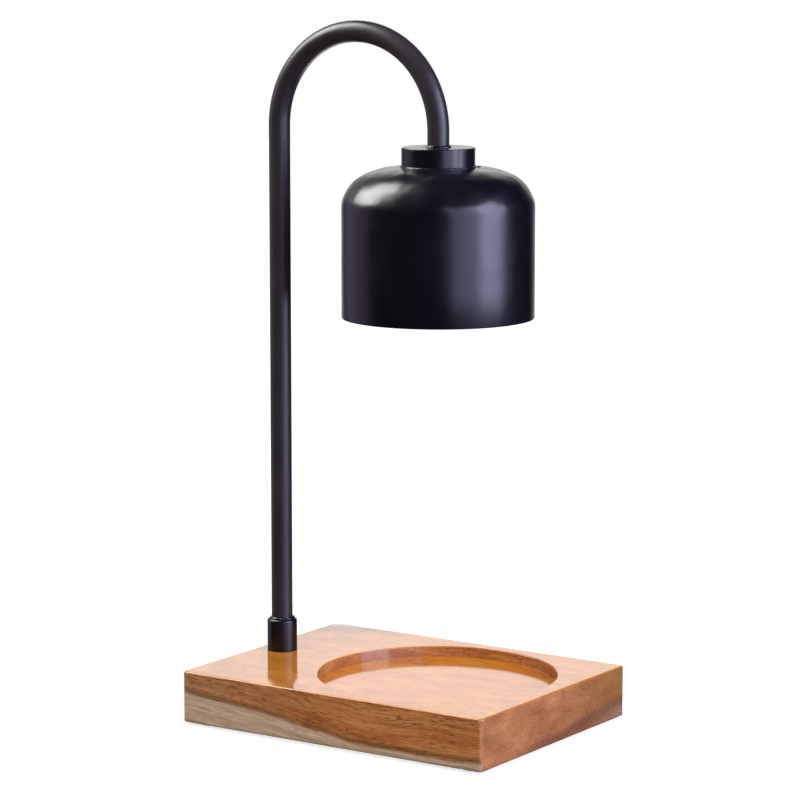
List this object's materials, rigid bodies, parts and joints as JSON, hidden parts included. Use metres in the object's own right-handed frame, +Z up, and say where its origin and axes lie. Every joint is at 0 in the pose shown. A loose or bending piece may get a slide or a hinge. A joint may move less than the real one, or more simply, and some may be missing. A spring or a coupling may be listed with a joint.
{
  "type": "candle warmer lamp",
  "caption": "Candle warmer lamp: a bell shade with a reflector bulb hangs from a hooked arm over a round recess in a wooden board.",
  "frame": {"origin": "on the table, under the middle of the board's underside", "axes": "+X along the board from the arm to the shade, +Y to the back, +Z up"},
  "size_m": [0.165, 0.125, 0.3252],
  "materials": {
    "acacia": "satin clear lacquer on acacia",
    "black_powder_coat": "satin black powder coat on steel",
    "black_steel": "black stoved enamel on steel sheet",
    "zinc_steel": "zinc plated",
    "rubber": "matt black rubber",
    "nylon": "natural nylon",
    "brass": "bright brass",
    "steatite": "unglazed white ceramic",
    "brown_sleeve": "brown silicone sleeve",
    "blue_sleeve": "blue silicone sleeve",
    "reflector_glass": "aluminised pressed glass",
    "clear_glass": "clear front glass",
    "nickel": "nickel plated brass",
    "quartz": "clear quartz",
    "tungsten": "drawn tungsten wire"
  },
  "bodies": {
    "lamp": {"base_board": "acacia", "bottom_plate": "black_steel", "plate_screws": "zinc_steel", "rubber_feet": "rubber", "cord_grommet": "rubber", "terminal_block": "nylon", "terminal_inserts": "brass", "terminal_screws": "zinc_steel", "block_screw": "zinc_steel", "arm_tube": "black_powder_coat", "foot_collar": "black_powder_coat", "foot_washer": "zinc_steel", "foot_nut": "zinc_steel", "foot_bush": "nylon", "head_bush": "nylon", "neck_cap": "black_powder_coat", "shade": "black_powder_coat", "head_washer": "zinc_steel", "head_nut": "zinc_steel", "socket_bracket": "zinc_steel", "socket_body": "steatite", "socket_cover": "steatite", "socket_contacts": "brass", "socket_screws": "zinc_steel", "live_lead": "brown_sleeve", "neutral_lead": "blue_sleeve"},
    "bulb": {"bulb_reflector": "reflector_glass", "bulb_lens": "clear_glass", "bulb_base": "steatite", "bulb_pins": "nickel", "bulb_capsule": "quartz", "bulb_filament": "tungsten"}
  },
  "joints": [
    {"name": "bulb_twist", "type": "hinge", "parent": "lamp", "child": "bulb", "pos_m": [0.0185, 0, 0.23855], "axis": [0, 0, -1], "range_deg": [0, 40]}
  ]
}
